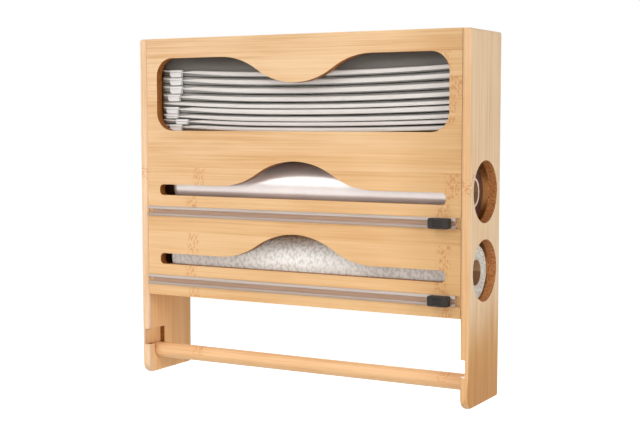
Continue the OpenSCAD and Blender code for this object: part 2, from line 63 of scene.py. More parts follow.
# The photograph's camera was fitted to the straight edges of the cabinet, and has a shifted lens. This one
# gives nearly the same picture by looking down a little, so that the object stays whole in other views
CAMERA_PLACE = (0.56696, -1.04447, -0.04312)
CAMERA_TURN = 28.975
CAMERA_DOWN = 4.6
CAMERA_LENS = 70.665
CAMERA_SENSOR = 36.0

# Light: an even surround and five soft lights, each with its direction from the object, distance, width,
# height and power; the film of the upper roll mirrors the tall key light, the near low light and the floor
WORLD_STRENGTH = 0.20
WORLD_SHADE = (1.0, 0.985, 0.97, 1.0)
LIGHTS = {
    "key_light": ((-0.70, -1.0, 1.0), 1.9, 1.8, 2.0, 24.5),
    "front_light": ((0.25, -1.0, -0.10), 2.4, 1.0, 1.0, 13.5),
    "low_light": ((-0.53, -1.0, -0.31), 0.48, 0.56, 0.34, 0.33),
    "side_light": ((1.0, -0.35, 0.25), 0.95, 0.5, 0.5, 4.2),
    "back_light": ((-0.38, 1.0, 0.30), 1.3, 0.4, 0.9, 4.6),
}
FLOOR_DROP = 0.16
FLOOR_SIZE = 12.0
FLOOR_GLOW = 0.80
FLOOR_SHADES = ((0.70, 0.70, 0.70, 1.0), (0.72, 0.72, 0.72, 1.0))

# Rounded edges of the rigid pieces, and the limits that prepare their meshes for them
SIDE_ROUND = 2.4 * MM
SIDE_EDGE = 0.8 * MM
FRONT_EDGE = 0.5 * MM
BOARD_EDGE = 0.5 * MM
CAP_ROUND = 0.9 * MM
CORE_EDGE = 0.3 * MM
SMALL_EDGE = 0.25 * MM
WIDE_SEGMENTS = 5
EDGE_SEGMENTS = 3
WELD_DISTANCE = 0.000005
FLAT_ANGLE = math.radians(0.4)
ROUND_ANGLE = math.radians(40)
SMOOTH_ANGLE = math.radians(34)

# Zip bags: heights of the strips above the shelf at the middle, sag of the lowest and of the top one,
# heights of the strips themselves, and places of the sliders from the bags' left ends, where 0 means none
STRIP_RISE = [rise * MM for rise in (2.3, 7.5, 11.9, 18.6, 23.5, 30.2, 37.9, 45.6, 53.0)]
STRIP_SIZE = [size * MM for size in (3.4, 3.0, 3.5, 3.8, 3.2, 3.7, 3.9, 3.8, 3.6)]
FLOOR_SAG = 3 * MM
TOP_SAG = 4 * MM
STRIP_D = 2.5 * MM
SLIDER_W = 14 * MM
SLIDER_H = 6.8 * MM
SLIDER_INSET = (14.4, 21.5, 10, 10.5, 0, 12.5, 15, 15, 15)
BAG_COUNT = len(STRIP_RISE)


# Node helpers

def new_material(name):
    """A material with its node tree and its shader."""
    material = bpy.data.materials.new(name)
    material.use_nodes = True
    tree = material.node_tree
    return material, tree, tree.nodes["Principled BSDF"]


def feed(tree, node, inputs):
    """Gives inputs of a node their values, or links them to sockets of other nodes."""
    for key, value in inputs.items():
        if isinstance(value, bpy.types.NodeSocket):
            tree.links.new(value, node.inputs[key])
        else:
            node.inputs[key].default_value = value


def add(tree, kind, inputs=None, **settings):
    """A node with its settings and inputs."""
    made = tree.nodes.new(kind)
    for key, value in settings.items():
        setattr(made, key, value)
    feed(tree, made, inputs or {})
    return made


def calc(tree, operation, first, second=0.0):
    """The result of one sum on two numbers or sockets."""
    return add(tree, "ShaderNodeMath", {0: first, 1: second}, operation=operation).outputs[0]


def weighted_sum(tree, terms):
    """The sum of values around 0.5, each with its weight, again around 0.5."""
    total = 0.5
    for value, weight in terms:
        total = calc(tree, "ADD", total, calc(tree, "MULTIPLY", calc(tree, "SUBTRACT", value, 0.5), weight))
    return total


def ramp(tree, value, low, high, start=0.0, end=1.0):
    """A smooth step of value, from start at low to end at high."""
    inputs = {"Value": value, "From Min": low, "From Max": high, "To Min": start, "To Max": end}
    return add(tree, "ShaderNodeMapRange", inputs, interpolation_type="SMOOTHSTEP").outputs["Result"]


def spread(tree, value, start=0.0, end=1.0):
    """A noise, which lies mostly between 0.3 and 0.7, spread out from start to end."""
    return ramp(tree, value, 0.3, 0.7, start, end)


def noise(tree, vector, scale=1.0, detail=3.0, rough=0.55):
    """Noise between 0 and 1 at a vector."""
    inputs = {"Vector": vector, "Scale": scale, "Detail": detail, "Roughness": rough}
    return add(tree, "ShaderNodeTexNoise", inputs).outputs["Fac"]


def mix(tree, share, first, second, blend="MIX"):
    """A colour between two colours. The node's colours are its inputs 6 and 7, and its output 2."""
    inputs = {0: share, 6: first, 7: second}
    return add(tree, "ShaderNodeMix", inputs, data_type="RGBA", blend_type=blend).outputs[2]


def rgb(red, green, blue):
    """A colour of 0 to 255 as the eye sees it, in the linear values that a shader takes."""
    def linear(value):
        value /= 255
        return value / 12.92 if value <= 0.04045 else ((value + 0.055) / 1.055) ** 2.4
    return (linear(red), linear(green), linear(blue), 1.0)


def colours(tree, value, stops):
    """A colour ramp through the stops, each a place and a colour."""
    made = add(tree, "ShaderNodeValToRGB", {"Fac": value})
    elements = made.color_ramp.elements
    while len(elements) < len(stops):
        elements.new(0.5)
    for element, (place, colour) in zip(elements, stops):
        element.position = place
        element.color = colour
    return made.outputs["Color"]


def bump(tree, shader, height, distance):
    """Fine relief on a shader."""
    relief = add(tree, "ShaderNodeBump", {"Height": height, "Distance": distance, "Strength": 1.0})
    feed(tree, shader, {"Normal": relief.outputs["Normal"]})


def object_place(tree):
    """The place on the object."""
    return add(tree, "ShaderNodeTexCoord").outputs["Object"]


def object_axes(tree):
    """The three coordinates of the place on the object."""
    parts = add(tree, "ShaderNodeSeparateXYZ", {"Vector": object_place(tree)}).outputs
    return dict(zip("XYZ", parts))


def normal_axes(tree):
    """The three parts of the object's own normal, as sizes without sign."""
    normal = add(tree, "ShaderNodeTexCoord").outputs["Normal"]
    parts = add(tree, "ShaderNodeSeparateXYZ", {"Vector": normal}).outputs
    return {axis: calc(tree, "ABSOLUTE", part) for axis, part in zip("XYZ", parts)}


def stretched(tree, axes, grain, along, across):
    """A vector whose noise is drawn out along the first axis of the grain."""
    parts = [calc(tree, "MULTIPLY", axes[grain[0]], along)]
    parts += [calc(tree, "MULTIPLY", axes[axis], across) for axis in grain[1:]]
    return add(tree, "ShaderNodeCombineXYZ", dict(enumerate(parts))).outputs[0]


# Materials

# Bamboo: its shades and those of its darker cut faces, partly end grain and partly painted shade, width of
# the glued strips, shift of the grain between them, and how fast fibres, streaks, clouds and dashes change
# along and across the grain
BAMBOO_SHADES = ((0.30, rgb(210, 156, 100)), (0.50, rgb(229, 185, 133)), (0.70, rgb(239, 200, 152)))
BAMBOO_MARK = rgb(202, 134, 80)
FRONT_CUT = (rgb(128, 70, 19), rgb(166, 102, 40))
PORT_CUT = (rgb(166, 100, 52), rgb(210, 146, 92))
STRIP_OF_BAMBOO = 0.0205
GRAIN_SHIFT = 7.0
FIBRES = (16.0, 1500.0)
STREAKS = (7.0, 560.0)
CLOUDS = (9.0, 42.0)
DASHES = (620.0, 260.0)

# Nodes of the canes: the distance between them, the place half a distance before one of them, and as shares
# of that distance how far they stray from strip to strip and the limits of the belt round a node; then the
# chance above which a strip shows nodes, and how strong their colour is
NODE_PERIOD = 0.257
NODE_START = 0.0335
NODE_STRAY = 0.08
NODE_BELT = (0.012, 0.034)
NODE_CHANCE = 0.45
NODE_SHADE = 0.66

# How far the clouds of the wood push a fade to and fro, as a share of the fade's length
FADE_STRAY = 0.6


def inside_box(tree, axes, limits):
    """1 inside the given limits of the coordinates, and 0 outside."""
    share = 1.0
    for axis, (low, high) in limits.items():
        above = calc(tree, "GREATER_THAN", axes[axis], low)
        below = calc(tree, "LESS_THAN", axes[axis], high)
        share = calc(tree, "MULTIPLY", share, calc(tree, "MULTIPLY", above, below))
    return share


def node_marks(tree, axes, grain, chance):
    """Nodes of the canes: the strips that chance picks show a belt of short dashes."""
    turn = calc(tree, "DIVIDE", calc(tree, "SUBTRACT", axes[grain[0]], NODE_START), NODE_PERIOD)
    turn = calc(tree, "ADD", turn, calc(tree, "MULTIPLY", chance.outputs["Value"], NODE_STRAY))
    from_node = calc(tree, "ABSOLUTE", calc(tree, "SUBTRACT", calc(tree, "FRACT", turn), 0.5))
    belt = ramp(tree, from_node, *NODE_BELT, 1.0, 0.0)
    dash = ramp(tree, noise(tree, stretched(tree, axes, grain, *DASHES), detail=2.0), 0.47, 0.61)
    shown = calc(tree, "GREATER_THAN", chance.outputs["Color"], NODE_CHANCE)
    dashes = calc(tree, "MULTIPLY", belt, dash)
    return calc(tree, "MULTIPLY", dashes, calc(tree, "MULTIPLY", shown, NODE_SHADE))


def bamboo(name, grain, phase=0.0, cut=None, painted_light=(), tint=PLAIN):
    """Laminated bamboo. grain names the axes along the fibres, across the strips and through the board. cut
    is the axis that the board faces, the limits between which its edges are darker cut faces, and two shades
    for them, partly end grain and partly painted shade. Each of painted_light is a slow fade of painted light
    and shade: an axis, two places along it, the tints there, and the axis that the tinted faces face, or None
    for all."""
    material, tree, shader = new_material(name)
    axes = object_axes(tree)
    facing = normal_axes(tree)
    strip = calc(tree, "ADD", calc(tree, "DIVIDE", axes[grain[1]], STRIP_OF_BAMBOO), phase)
    chance = add(tree, "ShaderNodeTexWhiteNoise", {"W": calc(tree, "FLOOR", strip)}, noise_dimensions="1D")
    tone = chance.outputs["Value"]
    moved = dict(axes)
    moved[grain[0]] = calc(tree, "ADD", axes[grain[0]], calc(tree, "MULTIPLY", tone, GRAIN_SHIFT))
    fibre = noise(tree, stretched(tree, moved, grain, *FIBRES), detail=2.0)
    streak = noise(tree, stretched(tree, moved, grain, *STREAKS), rough=0.6)
    cloud = noise(tree, stretched(tree, moved, grain, *CLOUDS), detail=2.0)
    value = weighted_sum(tree, ((streak, 0.42), (fibre, 0.30), (cloud, 0.36), (tone, 0.08)))
    mark = node_marks(tree, axes, grain, chance)
    wood = mix(tree, mark, colours(tree, value, BAMBOO_SHADES), BAMBOO_MARK)
    # Slow fades of painted light and shade
    for axis, low, high, low_tint, high_tint, faced in painted_light:
        stray = calc(tree, "MULTIPLY", calc(tree, "SUBTRACT", cloud, 0.5), FADE_STRAY * (high - low))
        shade = mix(tree, ramp(tree, calc(tree, "ADD", axes[axis], stray), low, high), low_tint, high_tint)
        share = ramp(tree, facing[faced], 0.5, 0.9) if faced else 1.0
        wood = mix(tree, share, wood, shade, "MULTIPLY")
    if tint != PLAIN:
        wood = mix(tree, 1.0, wood, tint, "MULTIPLY")
    # Darker cut faces: partly end grain, partly painted shade
    if cut:
        board, limits, (dark, pale) = cut
        edge = ramp(tree, facing[board], 0.45, 0.80, 1.0, 0.0)
        bare = calc(tree, "MULTIPLY", edge, inside_box(tree, axes, limits))
        fleck = noise(tree, object_place(tree), scale=520.0)
        wood = mix(tree, bare, wood, colours(tree, fleck, ((0.36, dark), (0.64, pale))))
    feed(tree, shader, {
        "Base Color": wood,
        "Roughness": spread(tree, streak, 0.50, 0.40),
        "Specular IOR Level": 0.24,
        "Coat Weight": 0.04,
        "Coat Roughness": 0.30,
    })
    bump(tree, shader, weighted_sum(tree, ((fibre, 0.6), (mark, -0.8))), 0.06 * MM)
    return material


def steel(name, colour, grain):
    """Plated steel with faint brushing along the first axis of the grain, and slightly darker stains."""
    material, tree, shader = new_material(name)
    brush = noise(tree, stretched(tree, object_axes(tree), grain, 60.0, 2600.0))
    stain = noise(tree, object_place(tree), scale=90.0)
    dark = tuple(0.82 * part for part in colour[:3]) + (1.0,)
    feed(tree, shader, {
        "Base Color": mix(tree, ramp(tree, stain, 0.35, 0.65), dark, colour),
        "Metallic": 1.0,
        "Roughness": spread(tree, brush, 0.26, 0.42),
    })
    bump(tree, shader, brush, 0.03 * MM)
    return material


def clear_plastic(name, web_y, middle_z):
    """Clear, slightly grey plastic of a cutter track. The web behind web_y is thin and shows the wood, and
    the lip below middle_z is a little darker than the upper one, a painted shade."""
    material, tree, shader = new_material(name)
    axes = object_axes(tree)
    drawn = spread(tree, noise(tree, stretched(tree, axes, "XZY", 14.0, 900.0), detail=2.0))
    upper = mix(tree, drawn, rgb(206, 192, 181), rgb(220, 207, 198))
    # The lower lip: painted shade
    lower = mix(tree, drawn, rgb(186, 167, 154), rgb(198, 180, 168))
    lips = mix(tree, calc(tree, "GREATER_THAN", axes["Z"], middle_z), lower, upper)
    web = mix(tree, drawn, rgb(214, 174, 146), rgb(226, 186, 158))
    feed(tree, shader, {
        "Base Color": mix(tree, calc(tree, "GREATER_THAN", axes["Y"], web_y), lips, web),
        "Roughness": calc(tree, "ADD", calc(tree, "MULTIPLY", drawn, 0.10), 0.28),
        "Alpha": 0.70,
    })
    bump(tree, shader, drawn, 0.03 * MM)
    return material


def black_plastic(name):
    """Satin black moulded plastic with a fine grain."""
    material, tree, shader = new_material(name)
    place = object_place(tree)
    grain = noise(tree, place, scale=2600.0, detail=2.0)
    wear = noise(tree, place, scale=160.0)
    feed(tree, shader, {
        "Base Color": mix(tree, ramp(tree, wear, 0.35, 0.7), rgb(38, 34, 31), rgb(50, 45, 41)),
        "Roughness": spread(tree, wear, 0.42, 0.54),
        "Specular IOR Level": 0.22,
    })
    bump(tree, shader, grain, 0.04 * MM)
    return material


def white_plastic(name, pale, dim, clear=None):
    """Milky plastic of the zip strips and sliders; where the mesh is marked as clear it turns to that darker
    shade, a painted shade of the gap above a strip.
    """
    material, tree, shader = new_material(name)
    cloud = noise(tree, stretched(tree, object_axes(tree), "XZY", 30.0, 300.0))
    white = mix(tree, spread(tree, cloud), dim, pale)
    if clear:
        marked = add(tree, "ShaderNodeAttribute", attribute_name="clear").outputs["Fac"]
        white = mix(tree, marked, white, clear)
    feed(tree, shader, {"Base Color": white, "Roughness": spread(tree, cloud, 0.38, 0.5)})
    bump(tree, shader, cloud, 0.04 * MM)
    return material


def bag_film(name, crest_z):
    """Grey film of the folded bags, with soft creases; its grey is partly its own tone and partly painted
    shade, and the single loose film above crest_z is darker still, as painted shade.
    """
    material, tree, shader = new_material(name)
    axes = object_axes(tree)
    crease = noise(tree, stretched(tree, axes, "XYZ", 26.0, 70.0), detail=4.0)
    folded = mix(tree, spread(tree, crease), rgb(164, 161, 156), rgb(174, 171, 166))
    # The loose film: painted shade
    loose = mix(tree, spread(tree, crease), rgb(104, 100, 94), rgb(114, 110, 103))
    height = ramp(tree, axes["Z"], crest_z, crest_z + 2 * MM)
    feed(tree, shader, {
        "Base Color": mix(tree, height, folded, loose),
        "Roughness": spread(tree, crease, 0.55, 0.68),
    })
    bump(tree, shader, crease, 0.3 * MM)
    return material


def wrap_film(name):
    """Smooth white film wound on its core, with faint rings along the roll, and dark ends that are partly
    the film's own darker edges and partly painted shade.
    """
    material, tree, shader = new_material(name)
    rings = noise(tree, stretched(tree, object_axes(tree), "YXZ", 6.0, 60.0))
    white = mix(tree, spread(tree, rings), rgb(214, 204, 200), rgb(219, 210, 206))
    layers = noise(tree, object_place(tree), scale=1400.0, detail=2.0)
    # The dark ends: partly the film's own darker edges, partly painted shade
    dark = mix(tree, ramp(tree, layers, 0.35, 0.65), rgb(96, 66, 58), rgb(118, 88, 78))
    end = ramp(tree, normal_axes(tree)["X"], 0.55, 0.80)
    feed(tree, shader, {
        "Base Color": mix(tree, end, white, dark),
        "Roughness": spread(tree, rings, 0.29, 0.32),
        "Metallic": 0.52,
    })
    bump(tree, shader, rings, 0.02 * MM)
    return material


def embossed_paper(name):
    """Soft white paper, greyer on the ends of the roll, with painted shade in the dips of its embossing."""
    material, tree, shader = new_material(name)
    place = object_place(tree)
    fleck = noise(tree, place, scale=620.0)
    cloud = noise(tree, place, scale=330.0, detail=2.0)
    dip_shade = add(tree, "ShaderNodeAttribute", attribute_name="dip_shade").outputs["Fac"]
    white = mix(tree, ramp(tree, cloud, 0.35, 0.65), rgb(250, 245, 237), rgb(255, 254, 249))
    # Painted shade in the dips of the embossing
    outer = mix(tree, ramp(tree, dip_shade, 0.25, 0.85, 0.0, 0.27), white, rgb(112, 102, 90))
    side = mix(tree, ramp(tree, fleck, 0.36, 0.58), rgb(176, 170, 160), rgb(226, 222, 212))
    end = ramp(tree, normal_axes(tree)["X"], 0.75, 0.92)
    feed(tree, shader, {"Base Color": mix(tree, end, outer, side), "Roughness": 0.85})
    bump(tree, shader, fleck, 0.2 * MM)
    return material


def core_board(name, pale, dim, end, axis_z):
    """Wound board of a roll's core: lighter above the axis' height than below it, and pale cut ends."""
    material, tree, shader = new_material(name)
    fleck = noise(tree, object_place(tree), scale=1500.0)
    above = ramp(tree, object_axes(tree)["Z"], axis_z - 0.3 * MM, axis_z + 0.3 * MM)
    cut = ramp(tree, normal_axes(tree)["X"], 0.6, 0.85)
    board = mix(tree, cut, mix(tree, above, dim, pale), end)
    feed(tree, shader, {
        "Base Color": mix(tree, ramp(tree, fleck, 0.30, 0.50, 0.30, 0.0), board, rgb(110, 80, 56)),
        "Roughness": 0.8,
    })
    bump(tree, shader, fleck, 0.1 * MM)
    return material


# Rigid pieces of the frame keep their meshes, and get rounded edges and finishes

def shade_by_angle():
    """A node group that smooths faces up to an angle and keeps sharper edges."""
    group = bpy.data.node_groups.new("shade_by_angle", "GeometryNodeTree")
    for direction in ("INPUT", "OUTPUT"):
        group.interface.new_socket("Geometry", in_out=direction, socket_type="NodeSocketGeometry")
    source = add(group, "NodeGroupInput").outputs[0]
    angle = add(group, "GeometryNodeInputMeshEdgeAngle").outputs["Unsigned Angle"]
    sharp = add(group, "FunctionNodeCompare", {0: angle, 1: SMOOTH_ANGLE},
                data_type="FLOAT", operation="GREATER_THAN").outputs[0]
    bare = add(group, "GeometryNodeRemoveAttribute", {"Geometry": source, "Name": "custom_normal"})
    faces = add(group, "GeometryNodeSetShadeSmooth", {"Geometry": bare.outputs[0]}, domain="FACE")
    edge_inputs = {"Geometry": faces.outputs[0], "Selection": sharp, "Shade Smooth": False}
    edges = add(group, "GeometryNodeSetShadeSmooth", edge_inputs, domain="EDGE")
    add(group, "NodeGroupOutput", {0: edges.outputs[0]})
    return group


SHADING = shade_by_angle()


def round_edges(piece, name, width, segments):
    """A modifier that rounds edges of a piece."""
    rounding = piece.modifiers.new(name, "BEVEL")
    rounding.width = width
    rounding.segments = segments
    rounding.miter_outer = "MITER_ARC"
    return rounding


def finish_node(name, material, edge=0.0, wide=0.0, chosen=None):
    """Gives a node of the frame its finish, and rounds its edges; those between chosen points get a wide
    rounding."""
    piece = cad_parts[name]
    piece.data.materials.clear()
    piece.data.materials.append(material)
    weld = piece.modifiers.new("join", "WELD")
    weld.merge_threshold = WELD_DISTANCE
    if edge:
        flat = piece.modifiers.new("flatten", "DECIMATE")
        flat.decimate_type = "DISSOLVE"
        flat.angle_limit = FLAT_ANGLE
    if wide:
        group = piece.vertex_groups.new(name="wide_edges")
        group.add([point.index for point in piece.data.vertices if chosen(point.co)], 1.0, "REPLACE")
        rounding = round_edges(piece, "wide_rounding", wide, WIDE_SEGMENTS)
        rounding.limit_method = "VGROUP"
        rounding.vertex_group = "wide_edges"
        rounding.use_clamp_overlap = False
    if edge:
        rounding = round_edges(piece, "rounding", edge, EDGE_SEGMENTS)
        rounding.limit_method = "ANGLE"
        rounding.angle_limit = ROUND_ANGLE
    piece.modifiers.new("shading", "NODES").node_group = SHADING
    weighted = piece.modifiers.new("normals", "WEIGHTED_NORMAL")
    weighted.keep_sharp = True


front_low, front_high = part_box("front_panel")
side_low, side_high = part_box("right_side_panel")
film_core_low, film_core_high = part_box("film_core")
paper_core_low, paper_core_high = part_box("paper_core")
cap_low, cap_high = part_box("upper_cutter_cap")
back_low, back_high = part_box("back_panel")

# Where boards show darker cut faces, partly end grain and partly painted shade: in the openings of the front
# panel and in the ports; in the rod's seats the same shades are painted shade of the recess alone
FRONT_CUTS = ("Y", {"X": (-0.1535, 0.1535), "Z": (front_low.z + 0.02, front_high.z - 0.01)}, FRONT_CUT)
PORT_CUTS = ("X", {"Y": (side_low.y + 0.005, -0.004), "Z": (-0.21, -0.07)}, PORT_CUT)
# The rod's seats and their channel take the cut shades as painted shade of the recess
SEAT_SHADE_LIMITS = {
    "Y": (side_low.y + 0.003, side_low.y + 0.03),
    "Z": (side_low.z + 0.012, side_low.z + 0.05),
}
SEAT_PAINTED_SHADE = ("X", SEAT_SHADE_LIMITS, FRONT_CUT)

# Painted light and shade over the boards, as bamboo() takes them: slow fades of colour for how light falls
# Front panel: painted light, paler towards the left and the top; painted shade, darker towards the right end
# and the bottom
FRONT_PAINTED_LIGHT = (
    ("X", front_low.x, front_high.x, (1.0, 1.02, 1.07, 1.0), (0.99, 0.98, 0.96, 1.0), None),
    ("X", 0.090, 0.156, PLAIN, (0.85, 0.83, 0.78, 1.0), None),
    ("Z", front_low.z, -0.10, (0.99, 0.96, 0.90, 1.0), (0.99, 0.97, 0.94, 1.0), None),
    ("Z", -0.14, front_high.z, PLAIN, (1.05, 1.13, 1.30, 1.0), None),
)
# Right side panel: painted sheen, paler towards the top; painted shade, darker and more orange towards the
# bottom, on its side and its edges
RIGHT_PAINTED_LIGHT = (
    ("Z", -0.252, -0.190, (0.77, 0.62, 0.32, 1.0), (1.03, 1.20, 1.53, 1.0), "X"),
    ("Z", side_low.z, -0.230, (0.93, 0.86, 0.74, 1.0), PLAIN, "X"),
    ("Z", -0.19, side_high.z, PLAIN, (0.93, 0.91, 0.89, 1.0), "X"),
    ("Z", side_low.z, side_high.z, (0.97, 0.91, 0.87, 1.0), (0.95, 0.95, 1.03, 1.0), "Y"),
)
# Left side panel: painted light that brightens it, and a paler painted highlight along its front edge
LEFT_PAINTED_LIGHT = (
    ("Y", side_low.y + 0.002, side_low.y + 0.01, (1.12, 1.24, 1.62, 1.0), (1.25, 1.21, 1.14, 1.0), None),
)
# Back panel: painted shade, darker and browner on its face towards the bays
BACK_PAINTED_SHADE = (
    ("Y", back_low.y + 0.001, back_high.y - 0.001, (0.74, 0.55, 0.38, 1.0), (0.95, 0.93, 0.91, 1.0), None),
)

front_wood = bamboo("bamboo_front", "XZY", 809.35, FRONT_CUTS, FRONT_PAINTED_LIGHT)
right_wood = bamboo("bamboo_right_side", "ZYX", 0.2, PORT_CUTS, RIGHT_PAINTED_LIGHT)
left_wood = bamboo("bamboo_left_side", "ZYX", 0.6, SEAT_PAINTED_SHADE, LEFT_PAINTED_LIGHT)
top_wood = bamboo("bamboo_top", "XYZ", 0.4)
inner_wood = bamboo("bamboo_boards", "XYZ", 0.1, tint=(0.86, 0.76, 0.66, 1.0))
back_wood = bamboo("bamboo_back", "XZY", 0.8, painted_light=BACK_PAINTED_SHADE)
rod_wood = bamboo("bamboo_rod", "XZY", 0.15, tint=(1.07, 1.03, 1.04, 1.0))
dowel_wood = bamboo("dowel_wood", "XZY", 0.5, tint=(0.85, 0.83, 0.8, 1.0))
zinc = steel("zinc_steel", rgb(196, 197, 200), "ZXY")
blade_steel = steel("blade_steel", rgb(206, 208, 212), "XYZ")
cutter_plastic = black_plastic("cutter_plastic")
film_core_board = core_board("film_core_board", rgb(178, 142, 104), rgb(160, 124, 88), rgb(236, 214, 196),
                             (film_core_low.z + film_core_high.z) / 2)
paper_core_board = core_board("paper_core_board", rgb(204, 164, 124), rgb(152, 112, 80), rgb(206, 194, 178),
                              (paper_core_low.z + paper_core_high.z) / 2)

# Which edges get a wide rounding: reach of a side panel's lower corner, how near a point has to lie to a
# face, and the share of a cap's width on each side of its middle that is left out
CORNER = 10.2 * MM
TOUCH = 0.05 * MM
CAP_MIDDLE = 0.35

# Depth of a track's lips, behind which its web begins
TRACK_LIP = 1.2 * MM


def on_side_outline(point):
    """True on the outer edges of a side panel, and on its front and lower edges."""
    front = point.y < side_low.y + TOUCH
    lower = point.z < side_low.z + TOUCH
    corner = point.y < side_low.y + CORNER and point.z < side_low.z + CORNER
    if front or lower or corner:
        return abs(abs(point.x) - side_low.x) < TOUCH or abs(abs(point.x) - side_high.x) < TOUCH
    behind = point.y > side_high.y - TOUCH
    upper = point.z > side_high.z - TOUCH
    return (behind or upper) and abs(abs(point.x) - side_high.x) < TOUCH


def on_cap_front(point):
    """True on the outline of a cutter cap's front face."""
    middle = (cap_low.x + cap_high.x) / 2
    return point.y < cap_low.y + TOUCH and abs(point.x - middle) > CAP_MIDDLE * (cap_high.x - cap_low.x)


finish_node("left_side_panel", left_wood, SIDE_EDGE, SIDE_ROUND, on_side_outline)
finish_node("right_side_panel", right_wood, SIDE_EDGE, SIDE_ROUND, on_side_outline)
finish_node("front_panel", front_wood, FRONT_EDGE)
finish_node("back_panel", back_wood, BOARD_EDGE)
finish_node("top_board", top_wood, BOARD_EDGE)
for board in ("bag_shelf", "roll_shelf", "bottom_board"):
    finish_node(board, inner_wood, BOARD_EDGE)
for dowels in ("shelf_dowels", "front_panel_dowels"):
    finish_node(dowels, dowel_wood)
for steel_piece in ("back_panel_screws", "hanger_plate_left", "hanger_plate_right", "hanger_screws"):
    finish_node(steel_piece, zinc, SMALL_EDGE)
for level in ("upper", "lower"):
    track_low, track_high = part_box(level + "_track")
    track_middle = (track_low.z + track_high.z) / 2
    track_plastic = clear_plastic(level + "_track_plastic", track_low.y + TRACK_LIP, track_middle)
    finish_node(level + "_track", track_plastic, SMALL_EDGE)
    finish_node(level + "_cutter_cap", cutter_plastic, SMALL_EDGE, CAP_ROUND, on_cap_front)
    finish_node(level + "_cutter_shoe", cutter_plastic, SMALL_EDGE)
    finish_node(level + "_cutter_blade", blade_steel)
finish_node("towel_rod", rod_wood)
finish_node("film_core", film_core_board, CORE_EDGE)
finish_node("paper_core", paper_core_board, CORE_EDGE)


# Modelled pieces

def new_piece(name, points, faces, material, body, slot, *nodes):
    """A mesh that replaces nodes of the frame and rides on a body."""
    mesh = bpy.data.meshes.new(name)
    mesh.from_pydata(points, [], faces)
    mesh.update()
    mesh.materials.append(material)
    piece = bpy.data.objects.new(name, mesh)
    bpy.context.scene.collection.objects.link(piece)
    for face in mesh.polygons:
        face.use_smooth = True
    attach(piece, body)
    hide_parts(*nodes)
    return piece


def mark_points(piece, name, values):
    """Gives each point of a piece a number, for its material."""
    piece.data.attributes.new(name, "FLOAT", "POINT").data.foreach_set("value", values)


def loft(rings, closed_ends=True):
    """Points and faces of a tube through rings that have equal counts of points."""
    count = len(rings[0])
    points = [point for ring in rings for point in ring]
    faces = []
    for i in range(len(rings) - 1):
        for j in range(count):
            k = (j + 1) % count
            faces.append((i * count + j, i * count + k, (i + 1) * count + k, (i + 1) * count + j))
    if closed_ends:
        faces.append(tuple(reversed(range(count))))
        faces.append(tuple(range((len(rings) - 1) * count, len(rings) * count)))
    return points, faces


def tube(rings):
    """Points and faces of a tube whose last ring joins its first, so that it is closed round its bore."""
    points, faces = loft(rings, closed_ends=False)
    count = len(rings[0])
    last = (len(rings) - 1) * count
    for j in range(count):
        k = (j + 1) % count
        faces.append((last + j, last + k, k, j))
    return points, faces


def join(points, faces, more_points, more_faces):
    """Adds more points and faces to those of a mesh."""
    faces += [tuple(index + len(points) for index in face) for face in more_faces]
    points += more_points


# Rolls: their layered ends, their air round the core, the steps of their meshes along and around, and the
# waves of the film
ROLL_EDGE = 0.6 * MM
ROLL_LAYERS = 14
LAYER_DEPTH = 0.12 * MM
CORE_AIR = 0.05 * MM
CORE_R = (film_core_high.z - film_core_low.z) / 2 + CORE_AIR
FILM_STEP = 4 * MM
FILM_AROUND = 128
FILM_WAVE = 0.05 * MM
FILM_WAVE_LENGTH = 0.031
PAPER_STEP = 0.7 * MM
PAPER_AROUND = 220


def roll_rings(node_name, bore, step, relief, around):
    """Rings of a wound roll: the left end with its layers, the outer face with its relief, the right end."""
    low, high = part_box(node_name)
    radius = (high.z - low.z) / 2
    axis_y = (low.y + high.y) / 2
    axis_z = (low.z + high.z) / 2
    end = []
    for i in range(ROLL_LAYERS + 1):
        r = bore + (radius - ROLL_EDGE - bore) * i / ROLL_LAYERS
        end.append((LAYER_DEPTH * (i % 2), r))
    length = high.x - low.x
    straight = length - 2 * ROLL_EDGE
    count = max(2, round(straight / step))
    profile = [(x, r, False) for x, r in end]
    profile += [(ROLL_EDGE + straight * i / count, radius, True) for i in range(count + 1)]
    profile += [(length - x, r, False) for x, r in reversed(end)]
    rings = []
    for x, r, outer in profile:
        ring = []
        for j in range(around):
            angle = 2 * math.pi * j / around
            out = r - relief(x, angle) if outer else r
            ring.append((low.x + x, axis_y + out * math.cos(angle), axis_z + out * math.sin(angle)))
        rings.append(ring)
    return rings


def film_relief(x, angle):
    """Slight waves of the wound film."""
    return FILM_WAVE * (1 + math.sin(x / FILM_WAVE_LENGTH + 2 * math.sin(angle)))


film_points, film_faces = tube(roll_rings("film_roll", CORE_R, FILM_STEP, film_relief, FILM_AROUND))
new_piece("film_roll_wound", film_points, film_faces, wrap_film("wrap_film"),
          "upper_roll", "wrap_film", "film_roll")

# Embossing of the paper: soft pillows in staggered rows, each a little out of place and of its own height
EMBOSS_PITCH = 2.5 * MM
EMBOSS_TALL = 3.7 * MM
EMBOSS_DEPTH = 0.6 * MM
paper_low, paper_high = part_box("paper_roll")
PAPER_R = (paper_high.z - paper_low.z) / 2
EMBOSS_ROUND = round(2 * math.pi * PAPER_R / EMBOSS_TALL)
EMBOSS_ROWS = 122
EMBOSS_JITTER = 0.7
EMBOSS_UNEVEN = 0.35
EMBOSS_SOFT = 0.33
emboss_chance = random.Random(SEED)
emboss_table = [[[emboss_chance.random() for value in range(3)] for cell in range(EMBOSS_ROUND)]
                for line in range(EMBOSS_ROWS)]


